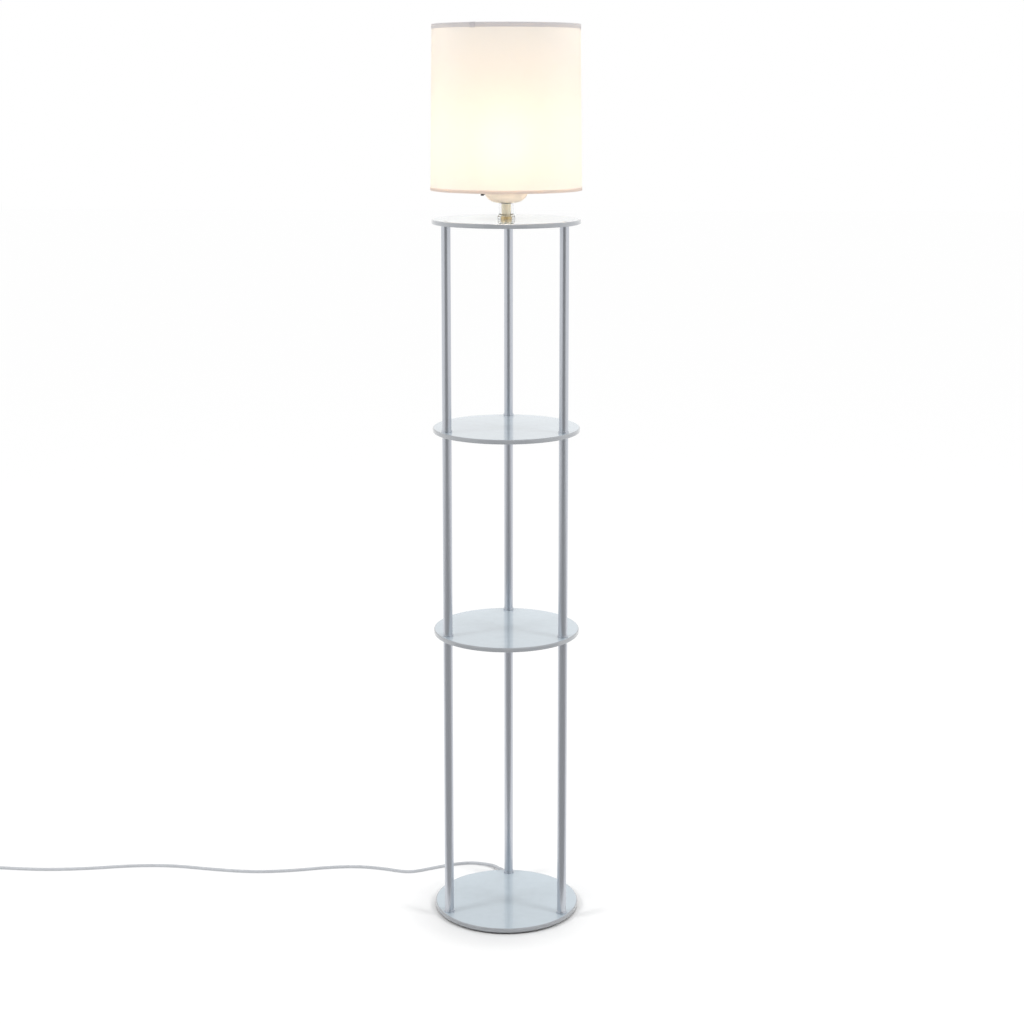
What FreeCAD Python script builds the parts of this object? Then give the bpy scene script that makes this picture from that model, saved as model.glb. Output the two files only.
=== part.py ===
import FreeCAD, Part
import math
import os

# Shelf floor lamp: a round weighted base, three round shelves on three tube poles, and a lit drum
# shade on a short neck. Millimetres, +Z up, origin on the floor under the middle of the base.
# The front of the lamp faces -Y and the rear pole, which carries the wires, stands at +Y.

# ---------------------------------------------------------------- driving dimensions: stand
disc_diameter = 260.0
disc_edge_round = 2.0
shelf_thickness = 8.0
base_height = 8.0
base_cover_wall = 1.0
weight_side_gap = 0.8
foot_height = 3.0
foot_diameter = 22.0
foot_circle_radius = 112.0
foot_count = 6
pole_circle_radius = 117.0
pole_angles = (90.0, 210.0, 330.0)
tube_diameter = 16.0
tube_wall = 1.0
lower_tube_length = 507.0
middle_tube_length = 358.0
upper_tube_length = 358.0
foot_collar_diameter = 18.4
foot_collar_height = 3.6
foot_collar_round = 0.5

# ---------------------------------------------------------------- driving dimensions: joining hardware
insert_length = 15.0
nipple_diameter = 10.0
nipple_bore = 7.5
nipple_grip = 12.0
locknut_across = 17.0
locknut_thickness = 2.5
locknut_pocket_gap = 1.5
weight_web = 3.0
thread_hole_gap = 0.2
top_screw_diameter = 5.0
top_screw_head = 9.6
top_screw_head_depth = 2.6
top_screw_length = 18.0
hex_socket_across = 3.0
hex_socket_depth = 1.8

# ---------------------------------------------------------------- driving dimensions: wires
wire_diameter = 2.4
wire_spacing = 2.6
wire_bend = 4.0
wire_slot_width = 6.4
wire_slot_depth = 3.2
wire_groove_depth = 4.5
wire_groove_width = 7.0
wire_floor_height = 5.0
wire_cover_width = 22.0
wire_cover_thickness = 1.0
wire_cover_end_diameter = 32.0
wire_cover_gap = 0.6
wire_clearance = 0.4
cover_screw_diameter = 2.6
cover_screw_head = 5.0
cover_screw_head_height = 1.6
cover_screw_length = 5.0
cover_screw_side = 8.0
cover_screw_rows = (34.0, 92.0)

# ---------------------------------------------------------------- driving dimensions: neck, cup, lampholder
neck_diameter = 26.0
neck_length = 27.3
neck_foot_diameter = 31.0
neck_foot_height = 4.0
neck_flare_height = 5.0
neck_sleeve_diameter = 16.5
neck_sleeve_clearance = 0.3
neck_seat_diameter = 20.0
neck_seat_height = 4.0
washer_diameter = 18.0
washer_thickness = 1.2
cup_diameter = 78.0
cup_height = 24.0
cup_wall = 1.6
holder_cap_diameter = 36.0
holder_cap_height = 10.0
holder_cap_wall = 1.2
holder_cap_floor = 3.5
holder_cap_round = 3.2
holder_shell_wall = 0.8
holder_seat_height = 2.4
holder_shell_length = 52.0
holder_liner_wall = 0.5
holder_core_height = 19.0
screw_shell_wall = 0.5
screw_shell_depth = 29.0
contact_strip_width = 5.0
contact_strip_thickness = 0.6
contact_rise = 5.0
terminal_recess = 3.2
terminal_screw_diameter = 3.0
terminal_head_diameter = 6.0
terminal_head_height = 1.8
terminal_screw_length = 8.0

# ---------------------------------------------------------------- driving dimensions: turn switch
spindle_height = 14.5
spindle_diameter = 3.2
spindle_clearance = 0.05
spindle_hole_gap = 0.6
knob_diameter = 6.0
knob_length = 5.4
knob_cup_gap = 0.7
knob_socket_depth = 4.0
knob_tip_round = 0.7
knob_flute_count = 12
knob_flute_radius = 0.4
rotor_diameter = 8.0
rotor_length = 6.0
rotor_gap = 0.3

# ---------------------------------------------------------------- driving dimensions: bulb
bulb_diameter = 60.0
bulb_length = 108.0
bulb_glass_wall = 0.8
bulb_neck_diameter = 25.2
bulb_neck_blend = 40.0
bulb_cap_diameter = 26.3
bulb_cap_length = 26.5
bulb_cap_wall = 0.5
bulb_cap_clearance = 0.05
bulb_tip_diameter = 9.0
bulb_tip_height = 1.5
bulb_insulator_height = 3.5
bulb_insulator_top_diameter = 20.0
bulb_cap_shoulder = 3.0
bulb_stem_diameter = 9.0
bulb_stem_length = 38.0
bulb_support_diameter = 0.9
bulb_support_length = 20.0
bulb_support_spread = 7.0
filament_diameter = 0.8
filament_spread = 15.0

# ---------------------------------------------------------------- driving dimensions: shade
shade_gap = 50.0
shade_height = 282.0
shade_bottom_diameter = 262.0
shade_taper = 7.0
shade_fabric_thickness = 0.8
shade_liner_thickness = 0.5
shade_trim_thickness = 0.5
top_trim_height = 8.0
bottom_trim_height = 5.5
trim_inner_height = 5.5
shade_wire_diameter = 3.0
arm_count = 3
arm_first_angle = 30.0
arm_diameter = 3.2
arm_notch_gap = 0.2
hub_bore = 68.0
hub_diameter = 87.0
hub_thickness = 1.5
hub_collar_height = 4.0
hub_collar_wall = 1.2
hub_collar_gap = 0.8

# ---------------------------------------------------------------- driving dimensions: cord
cord_diameter = 6.0
cord_exit_heading = 122.0
cord_slot_width = 11.0
cord_bend_share = 0.45
cord_first_run = 17.0
cord_last_run = 38.0
gland_outside = 18.0
gland_outer_clear = 3.0
gland_inner_clear = 4.2
gland_root_diameter = 9.2
gland_tip_diameter = 7.4
gland_neck_diameter = 7.6
gland_flange_diameter = 9.6
gland_flange_thickness = 1.8
gland_rib_count = 4
gland_rib_depth = 0.5
floor_gap = 0.1
coil_outer_radius = 33.0
coil_turn_gap = 0.6
coil_turns_in = 2.25
coil_turns_climb = 0.5
coil_climb_inset = 1.6
coil_turns_out = 2.25
coil_start_angle = 90.0
coil_sample_step = 1.5
tie_thickness = 0.8
tie_width = 8.0
tie_gap = 0.3
tie_angle = 30.0
plug_width = 26.0
plug_length = 54.0
plug_tail_length = 22.0
plug_tail_diameter = 9.6
plug_tail_end_diameter = 6.5
plug_tail_flat = 0.1
plug_shoulder = 10.0
plug_round = 4.5
blade_thickness = 1.5
blade_height = 6.35
blade_reach = 17.0
blade_root = 6.0
blade_spacing = 12.7
blade_hole_diameter = 3.0

# The route of the cord on the floor, chosen by hand: from the tip of the gland to the coil.
cord_route = [
    (-48.5, 172.8, 3.3),
    (-76.0, 178.0, 3.2),
    (-108.0, 169.5, 3.2),
    (-145.0, 151.0, 3.2),
    (-181.0, 130.8, 3.2),
    (-206.0, 131.5, 3.2),
    (-238.0, 143.0, 3.2),
    (-286.0, 153.0, 3.2),
    (-345.0, 148.0, 3.2),
    (-414.0, 129.0, 3.2),
    (-490.0, 120.0, 3.2),
    (-568.0, 130.0, 3.2),
    (-648.0, 146.0, 3.2),
    (-728.0, 143.0, 3.2),
    (-805.0, 127.0, 3.2),
    (-880.0, 119.0, 3.2),
    (-945.0, 121.6, 3.2),
]
coil_entry = (-1034.0, 123.0)

# ---------------------------------------------------------------- levels and radii worked out from the above
V = FreeCAD.Vector
UP = V(0, 0, 1)
disc_radius = disc_diameter / 2
tube_radius = tube_diameter / 2
tube_bore_radius = tube_radius - tube_wall
nipple_radius = nipple_diameter / 2
base_bottom = foot_height
base_top = base_bottom + base_height
weight_bottom = base_bottom
weight_top = base_top - base_cover_wall
weight_radius = disc_radius - base_cover_wall - weight_side_gap
lower_shelf_bottom = base_top + lower_tube_length
lower_shelf_top = lower_shelf_bottom + shelf_thickness
upper_shelf_bottom = lower_shelf_top + middle_tube_length
upper_shelf_top = upper_shelf_bottom + shelf_thickness
top_shelf_bottom = upper_shelf_top + upper_tube_length
top_shelf_top = top_shelf_bottom + shelf_thickness
neck_bottom = top_shelf_top
neck_top = neck_bottom + neck_length
neck_seat_top = neck_bottom + neck_seat_height
cup_bottom = neck_top + washer_thickness
cup_floor = cup_bottom + cup_wall
cup_rim = cup_bottom + cup_height
cup_radius = cup_diameter / 2
cup_flat_radius = cup_radius - cup_height
locknut_pocket_radius = locknut_across / 2 / math.cos(math.radians(30)) + locknut_pocket_gap
neck_pocket_depth = wire_clearance + wire_diameter + wire_clearance + locknut_thickness
neck_pocket_roof = top_shelf_bottom + neck_pocket_depth
wire_groove_height = top_shelf_bottom + wire_clearance + wire_diameter / 2
holder_radius = holder_cap_diameter / 2 - holder_cap_wall
holder_shell_bottom = cup_floor + holder_cap_floor + holder_seat_height
core_bottom = holder_shell_bottom + holder_seat_height
core_top = core_bottom + holder_core_height
core_radius = holder_radius - holder_shell_wall - holder_liner_wall
spindle_z = cup_bottom + spindle_height
screw_shell_radius = bulb_cap_diameter / 2 + bulb_cap_clearance
bulb_bottom = core_top + contact_rise
bulb_cap_top = bulb_bottom + bulb_cap_length
bulb_sphere_z = bulb_bottom + bulb_length - bulb_diameter / 2
shade_bottom = top_shelf_top + shade_gap
shade_top = shade_bottom + shade_height
cord_radius = cord_diameter / 2
exit_direction = V(math.cos(math.radians(cord_exit_heading)), math.sin(math.radians(cord_exit_heading)), 0)
coil_pitch = cord_diameter + coil_turn_gap
coil_height = tie_thickness + floor_gap + tie_gap + cord_radius


# ---------------------------------------------------------------- shared helpers
def save(name, solids):
    """Writes one named node, as one solid or as a group of separate ones."""
    shape = solids[0] if len(solids) == 1 else Part.makeCompound(solids)
    shape.exportStep("parts/" + name + ".step")


def rod(radius, bottom, top, x=0.0, y=0.0):
    """Upright round bar between two heights."""
    return Part.makeCylinder(radius, top - bottom, V(x, y, bottom))


def ring(outer, inner, bottom, top, x=0.0, y=0.0):
    """Upright round tube between two heights."""
    return rod(outer, bottom, top, x, y).cut(rod(inner, bottom, top, x, y))


def turned(profile):
    """Solid turned about the vertical axis from straight-sided outline points (radius, height)."""
    corners = [V(radius, 0, height) for radius, height in profile]
    outline = Part.makePolygon(corners + corners[:1])
    return Part.Face(outline).revolve(V(0, 0, 0), UP, 360)


def turned_edges(edges):
    """Solid turned about the vertical axis from a closed chain of edges."""
    return Part.Face(Part.Wire(edges)).revolve(V(0, 0, 0), UP, 360)


def line(start, end):
    """Straight edge between two (radius, height) points."""
    return Part.makeLine(V(start[0], 0, start[1]), V(end[0], 0, end[1]))


def arc(centre, radius, first, last):
    """Round edge about a (radius, height) centre, from one angle to another in degrees."""
    def at(degrees):
        angle = math.radians(degrees)
        return V(centre[0] + radius * math.cos(angle), 0, centre[1] + radius * math.sin(angle))
    return Part.Arc(at(first), at((first + last) / 2), at(last)).toShape()


def hexagon(across, bottom, top):
    """Upright six-sided bar, measured across its flats."""
    corner = across / 2 / math.cos(math.radians(30))
    points = []
    for side in range(7):
        angle = math.radians(60 * side)
        points.append(V(corner * math.cos(angle), corner * math.sin(angle), bottom))
    return Part.Face(Part.makePolygon(points)).extrude(V(0, 0, top - bottom))


def pole_place(degrees):
    """Position of a pole on its circle."""
    angle = math.radians(degrees)
    return V(pole_circle_radius * math.cos(angle), pole_circle_radius * math.sin(angle), 0)


def at_poles(shape):
    """Copies of a shape, made about the middle axis, moved to the three poles."""
    copies = []
    for degrees in pole_angles:
        copy = shape.copy()
        copy.translate(pole_place(degrees))
        copies.append(copy)
    return copies


def round_disc(bottom, top):
    """Flat round board with softened edges."""
    disc = rod(disc_radius, bottom, top)
    edges = [edge for edge in disc.Edges if isinstance(edge.Curve, Part.Circle)]
    return disc.makeFillet(disc_edge_round, edges)


def corner_path(points, setback):
    """Straight runs joined by tangent arcs: one wire, its length and its least radius.

    setback gives how far before a corner its arc starts, from the two runs and half the turn."""
    edges = []
    start = points[0]
    length = 0.0
    least = float("inf")
    for index in range(1, len(points) - 1):
        corner = points[index]
        before = corner - points[index - 1]
        after = points[index + 1] - corner
        half_turn = before.getAngle(after) / 2
        back = setback(before.Length, after.Length, half_turn)
        radius = back / math.tan(half_turn)
        before.normalize()
        after.normalize()
        arc_start = corner - before * back
        arc_end = corner + after * back
        inward = after - before
        inward.normalize()
        middle = corner + inward * (radius / math.cos(half_turn) - radius)
        edges.append(Part.LineSegment(start, arc_start).toShape())
        edges.append(Part.Arc(arc_start, middle, arc_end).toShape())
        length += start.distanceToPoint(arc_start) + 2 * half_turn * radius
        least = min(least, radius)
        start = arc_end
    edges.append(Part.LineSegment(start, points[-1]).toShape())
    length += start.distanceToPoint(points[-1])
    return Part.Wire(edges), length, least


def tube_along(path, start, direction, radius):
    """Round solid bar swept along a wire."""
    section = Part.Wire([Part.Circle(start, direction, radius).toShape()])
    return path.makePipeShell([section], True, False)


# ---------------------------------------------------------------- base
def exit_slot(bottom, top):
    """Straight slot from the rear pole out through the rear rim, in which the wires lie."""
    slot = Part.makeBox(disc_radius, cord_slot_width, top - bottom, V(0, -cord_slot_width / 2, bottom))
    slot.rotate(V(0, 0, 0), UP, cord_exit_heading)
    slot.translate(pole_place(pole_angles[0]))
    return slot


def make_base():
    """Thin round cover over an iron weight, on rubber feet."""
    cover = round_disc(base_bottom, base_top)
    cover = cover.cut(rod(disc_radius - base_cover_wall, base_bottom, weight_top))
    for hole in at_poles(rod(nipple_radius + thread_hole_gap, base_bottom, base_top)):
        cover = cover.cut(hole)
    notch = gland_shape(gland_neck_diameter / 2)
    drop = notch.copy()
    drop.translate(V(0, 0, -base_height))
    cover = cover.cut(notch).cut(drop)
    save("base_cover", [cover])

    weight = rod(weight_radius, weight_bottom, weight_top)
    web_bottom = weight_top - weight_web
    rear, *front = at_poles(rod(locknut_pocket_radius, weight_bottom, web_bottom))
    for pocket in front:
        weight = weight.cut(pocket)
    for hole in at_poles(rod(nipple_radius + thread_hole_gap, weight_bottom, weight_top)):
        weight = weight.cut(hole)
    rear_place = pole_place(pole_angles[0])
    rear_pocket = rod(locknut_pocket_radius, weight_bottom, weight_top, rear_place.x, rear_place.y)
    weight = weight.cut(rear_pocket).cut(exit_slot(weight_bottom, weight_top))
    save("base_weight", [weight])

    feet = []
    for index in range(foot_count):
        angle = math.radians(360 * index / foot_count)
        x = foot_circle_radius * math.cos(angle)
        y = foot_circle_radius * math.sin(angle)
        feet.append(rod(foot_diameter / 2, 0, foot_height, x, y))
    save("base_feet", feet)


# ---------------------------------------------------------------- poles and shelves
def make_tube(length, bottom):
    """One straight pole section about the middle axis."""
    return ring(tube_radius, tube_bore_radius, bottom, bottom + length)


def make_poles():
    """Three poles, each of three tubes with an insert pressed into each end and a collar at its foot."""
    bays = {
        "lower": (lower_tube_length, base_top),
        "middle": (middle_tube_length, lower_shelf_top),
        "upper": (upper_tube_length, upper_shelf_top),
    }
    inserts = []
    for bay, (length, bottom) in bays.items():
        tubes = at_poles(make_tube(length, bottom))
        if bay == "upper":
            notch = Part.makeBox(wire_groove_width, tube_diameter / 2, wire_groove_depth)
            notch.translate(V(-wire_groove_width / 2, -tube_diameter / 2, top_shelf_bottom - wire_groove_depth))
            notch.translate(pole_place(pole_angles[0]))
            tubes[0] = tubes[0].cut(notch)
        for side, tube in zip(("rear", "left", "right"), tubes):
            save(side + "_tube_" + bay, [tube])
        inserts += at_poles(ring(tube_bore_radius, nipple_radius, bottom, bottom + insert_length))
        if bay != "upper":
            end = bottom + length
            inserts += at_poles(ring(tube_bore_radius, nipple_radius, end - insert_length, end))
    plug = ring(tube_bore_radius, top_screw_diameter / 2, top_shelf_bottom - insert_length, top_shelf_bottom)
    slot_place = V(-wire_slot_width / 2, -tube_bore_radius, top_shelf_bottom - insert_length)
    slot = Part.makeBox(wire_slot_width, wire_slot_depth, insert_length, slot_place)
    save("tube_inserts", inserts + at_poles(plug.cut(slot)))

    collars = []
    for length, bottom in bays.values():
        collar = ring(foot_collar_diameter / 2, tube_radius, bottom, bottom + foot_collar_height)
        rim = [edge for edge in collar.Edges if edge.BoundBox.ZMin > bottom + foot_collar_height / 2]
        outer_rim = [edge for edge in rim if edge.BoundBox.XMax > tube_radius + foot_collar_round]
        collars += at_poles(collar.makeFillet(foot_collar_round, outer_rim))
    save("foot_collars", collars)


def locknut(bottom):
    """Low six-sided nut on the hollow thread."""
    nut = hexagon(locknut_across, bottom, bottom + locknut_thickness)
    return nut.cut(rod(nipple_radius, bottom, bottom + locknut_thickness))


def nipple(bottom, length):
    """Hollow threaded pipe, open at both ends for the wires."""
    return ring(nipple_radius, nipple_bore / 2, bottom, bottom + length)


def make_joining():
    """Hollow threads and nuts that clamp the poles to the base and join them at the shelves."""
    front_nut_top = weight_top - weight_web
    front_bottom = front_nut_top - locknut_thickness
    rear_bottom = weight_top - locknut_thickness
    length = base_top - front_bottom + nipple_grip
    base_nipples = []
    base_nuts = []
    for index in range(len(pole_angles)):
        bottom = rear_bottom if index == 0 else front_bottom
        place = pole_place(pole_angles[index])
        stem = nipple(bottom, length)
        nut = locknut(bottom)
        nut.rotate(V(0, 0, 0), UP, 30)
        stem.translate(place)
        nut.translate(place)
        base_nipples.append(stem)
        base_nuts.append(nut)
    save("base_nipples", base_nipples)

    through = 2 * nipple_grip + shelf_thickness
    links = at_poles(nipple(lower_shelf_bottom - nipple_grip, through))
    links += at_poles(nipple(upper_shelf_bottom - nipple_grip, through))
    save("shelf_nipples", links)
    return base_nuts


def make_shelves():
    """Three round boards: two that the threads pass through, and the top one."""
    holes = rod(nipple_radius + thread_hole_gap, lower_shelf_bottom, top_shelf_top)
    for name, bottom in (("shelf_lower", lower_shelf_bottom), ("shelf_upper", upper_shelf_bottom)):
        shelf = round_disc(bottom, bottom + shelf_thickness)
        for hole in at_poles(holes):
            shelf = shelf.cut(hole)
        save(name, [shelf])

    top = round_disc(top_shelf_bottom, top_shelf_top)
    for screw in at_poles(top_screw(thread_hole_gap)):
        top = top.cut(screw)
    groove_roof = top_shelf_bottom + wire_groove_depth
    groove_end = pole_circle_radius - tube_bore_radius + wire_slot_depth
    groove = Part.makeBox(wire_groove_width, groove_end, wire_groove_depth)
    groove.translate(V(-wire_groove_width / 2, 0, groove_roof - wire_groove_depth))
    top = top.cut(groove)
    top = top.cut(rod(locknut_pocket_radius, top_shelf_bottom, neck_pocket_roof))
    top = top.cut(rod(nipple_radius + thread_hole_gap, top_shelf_bottom, top_shelf_top))
    for place in cover_screw_places():
        top = top.cut(cover_screw(place))
    save("shelf_top", [top])


def top_screw(extra=0.0):
    """Countersunk screw with a hexagon socket, flush with the top shelf; extra widens its hole."""
    head_radius = top_screw_head / 2 + extra
    radius = top_screw_diameter / 2 + extra
    bottom = top_shelf_top - top_screw_length
    outline = [
        (0, bottom),
        (radius, bottom),
        (radius, top_shelf_top - top_screw_head_depth),
        (head_radius, top_shelf_top),
        (0, top_shelf_top),
    ]
    return turned(outline)


def make_top_screws():
    """The three screws that hold the top shelf down on its tubes."""
    socket = hexagon(hex_socket_across, top_shelf_top - hex_socket_depth, top_shelf_top)
    save("top_screws", at_poles(top_screw().cut(socket)))


# ---------------------------------------------------------------- wire cover under the top shelf
def cover_screw_places():
    """Where the four small screws of the wire cover go."""
    return [(side * cover_screw_side, row) for row in cover_screw_rows for side in (-1, 1)]


def cover_screw(place):
    """Small pan-head screw pointing up into the underside of the top shelf."""
    x, y = place
    face = top_shelf_bottom - wire_cover_thickness
    shank = rod(cover_screw_diameter / 2, face, top_shelf_bottom + cover_screw_length, x, y)
    head = rod(cover_screw_head / 2, face - cover_screw_head_height, face, x, y)
    lower = [edge for edge in head.Edges if edge.BoundBox.ZMax < face - cover_screw_head_height / 2]
    return head.makeFillet(cover_screw_head_height / 3, lower).fuse(shank).removeSplitter()


def make_wire_cover():
    """Flat strip that closes the groove for the wires, and its screws."""
    reach = pole_circle_radius - tube_radius - wire_cover_gap
    bottom = top_shelf_bottom - wire_cover_thickness
    strip = Part.makeBox(wire_cover_width, reach, wire_cover_thickness, V(-wire_cover_width / 2, 0, bottom))
    plate = strip.fuse(rod(wire_cover_end_diameter / 2, bottom, top_shelf_bottom)).removeSplitter()
    for place in cover_screw_places():
        plate = plate.cut(cover_screw(place))
    save("wire_cover", [plate])
    save("wire_cover_screws", [cover_screw(place) for place in cover_screw_places()])


def make_wires():
    """Two thin insulated wires from the gland, up the rear pole, to the lampholder."""
    side = V(-exit_direction.y, exit_direction.x, 0)
    pole = pole_place(pole_angles[0])
    gland_back = gland_start()
    slot_y = pole.y - tube_bore_radius + wire_slot_depth / 2
    straight_from = upper_shelf_top + insert_length
    straight_to = top_shelf_bottom - 2 * insert_length
    wires = []
    for sign in (-1, 1):
        low = side * (sign * wire_spacing / 2)
        x = -sign * wire_spacing / 2
        points = [
            gland_back + low,
            V(pole.x, pole.y, wire_floor_height) + low,
            V(pole.x, pole.y, straight_from) + low,
            V(x, slot_y, straight_to),
            V(x, slot_y, wire_groove_height),
            V(x, 0, wire_groove_height),
            V(x, 0, core_bottom),
        ]
        path, length, least = corner_path(points, lambda before, after, half: wire_bend * math.tan(half))
        wires.append(tube_along(path, points[0], points[1] - points[0], wire_diameter / 2))
    print("wires: length", round(length, 1), "bend radius", round(least, 2))
    save("inner_wires", wires)


# ---------------------------------------------------------------- neck and cup
def make_neck():
    """Clear flared column on a seat ring, with a sleeve round the hollow thread, and a washer."""
    thread_bore = nipple_radius + thread_hole_gap
    sleeve_radius = neck_sleeve_diameter / 2
    seat_radius = neck_seat_diameter / 2
    foot_top = neck_bottom + neck_foot_height
    column = turned([
        (0, neck_bottom),
        (neck_foot_diameter / 2, neck_bottom),
        (neck_foot_diameter / 2, foot_top),
        (neck_diameter / 2, foot_top + neck_flare_height),
        (neck_diameter / 2, neck_top),
        (0, neck_top),
    ])
    column = column.cut(rod(sleeve_radius + neck_sleeve_clearance, neck_bottom, neck_top))
    seat_room = rod(seat_radius + neck_sleeve_clearance, neck_bottom, neck_seat_top + neck_sleeve_clearance)
    save("neck_column", [column.cut(seat_room)])
    save("neck_seat", [ring(seat_radius, thread_bore, neck_bottom, neck_seat_top)])
    save("neck_sleeve", [ring(sleeve_radius, thread_bore, neck_seat_top, neck_top)])
    nut_bottom = neck_pocket_roof - locknut_thickness
    save("neck_nipple", [nipple(nut_bottom, cup_floor + holder_cap_floor - nut_bottom)])
    save("neck_washer", [ring(washer_diameter / 2, nipple_radius, neck_top, cup_bottom)])
    return locknut(nut_bottom)


def spindle_bar(radius, start, end):
    """Level round bar along the switch's axis, from one distance left of the middle to another."""
    return Part.makeCylinder(radius, end - start, V(-start, 0, spindle_z), V(-1, 0, 0))


def make_cup():
    """Shallow round-bottomed cup that carries the shade on its rim."""
    bore = nipple_radius + thread_hole_gap
    centre = (cup_flat_radius, cup_rim)
    inner = cup_height - cup_wall
    edges = [
        line((bore, cup_bottom), (cup_flat_radius, cup_bottom)),
        arc(centre, cup_height, -90, 0),
        line((cup_radius, cup_rim), (cup_radius - cup_wall, cup_rim)),
        arc(centre, inner, 0, -90),
        line((cup_flat_radius, cup_floor), (bore, cup_floor)),
        line((bore, cup_floor), (bore, cup_bottom)),
    ]
    cup = turned_edges(edges)
    cup = cup.cut(spindle_bar(spindle_diameter / 2 + spindle_hole_gap, holder_radius, cup_radius))
    save("cup", [cup])


# ---------------------------------------------------------------- lampholder and switch
def make_holder():
    """Lampholder: cap, shell, liner, moulded core, screw shell, contact strip and terminals."""
    cap_radius = holder_cap_diameter / 2
    cap_top = cup_floor + holder_cap_height
    cap = rod(cap_radius, cup_floor, cap_top)
    low = [edge for edge in cap.Edges if edge.BoundBox.ZMax < cup_floor + holder_cap_floor]
    cap = cap.makeFillet(holder_cap_round, low)
    cap = cap.cut(rod(holder_radius, cup_floor + holder_cap_floor, cap_top))
    cap = cap.cut(rod(nipple_radius, cup_floor, cap_top))
    save("holder_cap", [cap])

    shell_top = holder_shell_bottom + holder_shell_length
    passage = spindle_bar(spindle_diameter / 2 + spindle_hole_gap, core_radius - holder_liner_wall, cup_radius)
    shell_bore = holder_radius - holder_shell_wall
    shell = ring(holder_radius, shell_bore, holder_shell_bottom, shell_top)
    save("holder_shell", [shell.cut(passage)])
    liner = ring(shell_bore, core_radius, holder_shell_bottom, shell_top - holder_shell_wall)
    save("holder_liner", [liner.cut(passage)])

    core = rod(core_radius, core_bottom, core_top)
    rotor_start = rotor_gap
    rotor_end = rotor_start + rotor_length
    half = rotor_diameter / 2 + rotor_gap
    room_size = (rotor_length + 2 * rotor_gap, 2 * half, spindle_z + half - core_bottom)
    room = Part.makeBox(*room_size, V(-rotor_end - rotor_gap, -half, core_bottom))
    core = core.cut(room)
    core = core.cut(spindle_bar(spindle_diameter / 2 + spindle_clearance, rotor_end, cup_radius))
    seat = core_radius - terminal_recess
    recess_bottom = core_top - 2 * terminal_head_diameter
    terminal_z = core_top - terminal_head_diameter
    screws = []
    for sign in (-1, 1):
        pocket = Part.makeBox(2 * terminal_head_diameter, terminal_recess, core_top - recess_bottom)
        pocket_y = seat if sign > 0 else -core_radius
        pocket.translate(V(-terminal_head_diameter, pocket_y, recess_bottom))
        way = V(0, sign, 0)
        root = V(0, sign * (seat - terminal_screw_length + terminal_head_height), terminal_z)
        shank_length = terminal_screw_length - terminal_head_height
        shank = Part.makeCylinder(terminal_screw_diameter / 2, shank_length, root, way)
        head = Part.makeCylinder(terminal_head_diameter / 2, terminal_head_height, V(0, sign * seat, terminal_z), way)
        core = core.cut(pocket).cut(shank)
        screws.append(shank.fuse(head).removeSplitter())
    save("holder_core", [core])
    save("terminal_screws", screws)

    outer = screw_shell_radius + screw_shell_wall
    cup = rod(outer, core_top, core_top + screw_shell_depth)
    cup = cup.cut(rod(screw_shell_radius, core_top + screw_shell_wall, core_top + screw_shell_depth))
    cup = cup.cut(rod(bulb_tip_diameter - contact_strip_thickness, core_top, core_top + screw_shell_wall))
    save("screw_shell", [cup])

    reach = bulb_tip_diameter - 2 * contact_strip_thickness
    width = contact_strip_width
    thick = contact_strip_thickness
    low_end = V(-reach, -width / 2, core_top)
    outline = [
        low_end,
        low_end + V(reach, 0, 0),
        V(thick, -width / 2, bulb_bottom - thick),
        V(reach / 2, -width / 2, bulb_bottom - thick),
        V(reach / 2, -width / 2, bulb_bottom),
        V(0, -width / 2, bulb_bottom),
        V(-thick, -width / 2, core_top + thick),
        V(-reach, -width / 2, core_top + thick),
    ]
    strip = Part.Face(Part.makePolygon(outline + outline[:1])).extrude(V(0, width, 0))
    save("contact_strip", [strip])


def make_switch():
    """Turn switch: spindle with its rotor inside the core, through the cup's wall to a fluted knob."""
    below_rim = cup_rim - spindle_z - knob_diameter / 2
    knob_start = cup_flat_radius + math.sqrt(cup_height ** 2 - below_rim ** 2) + knob_cup_gap
    knob_end = knob_start + knob_length
    spindle_end = knob_start + knob_socket_depth
    spindle = spindle_bar(spindle_diameter / 2, rotor_gap, spindle_end)
    rotor = spindle_bar(rotor_diameter / 2, rotor_gap, rotor_gap + rotor_length)
    for sign in (-1, 1):
        flat = Part.makeBox(rotor_length, rotor_diameter, rotor_diameter)
        flat.translate(V(-rotor_gap - rotor_length, -rotor_diameter / 2, spindle_z))
        flat.translate(V(0, 0, rotor_diameter / 3 if sign > 0 else -rotor_diameter / 3 - rotor_diameter))
        rotor = rotor.cut(flat)
    save("switch_spindle", [spindle.fuse(rotor).removeSplitter()])
    knob = spindle_bar(knob_diameter / 2, knob_start, knob_end)
    tip = [edge for edge in knob.Edges if edge.BoundBox.XMax < -knob_end + knob_tip_round]
    knob = knob.makeFillet(knob_tip_round, tip)
    for index in range(knob_flute_count):
        angle = math.radians(360 * index / knob_flute_count)
        y = knob_diameter / 2 * math.cos(angle)
        z = spindle_z + knob_diameter / 2 * math.sin(angle)
        base = V(-knob_start - knob_tip_round, y, z)
        knob = knob.cut(Part.makeCylinder(knob_flute_radius, knob_length, base, V(-1, 0, 0)))
    save("switch_knob", [knob.cut(spindle)])


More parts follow.
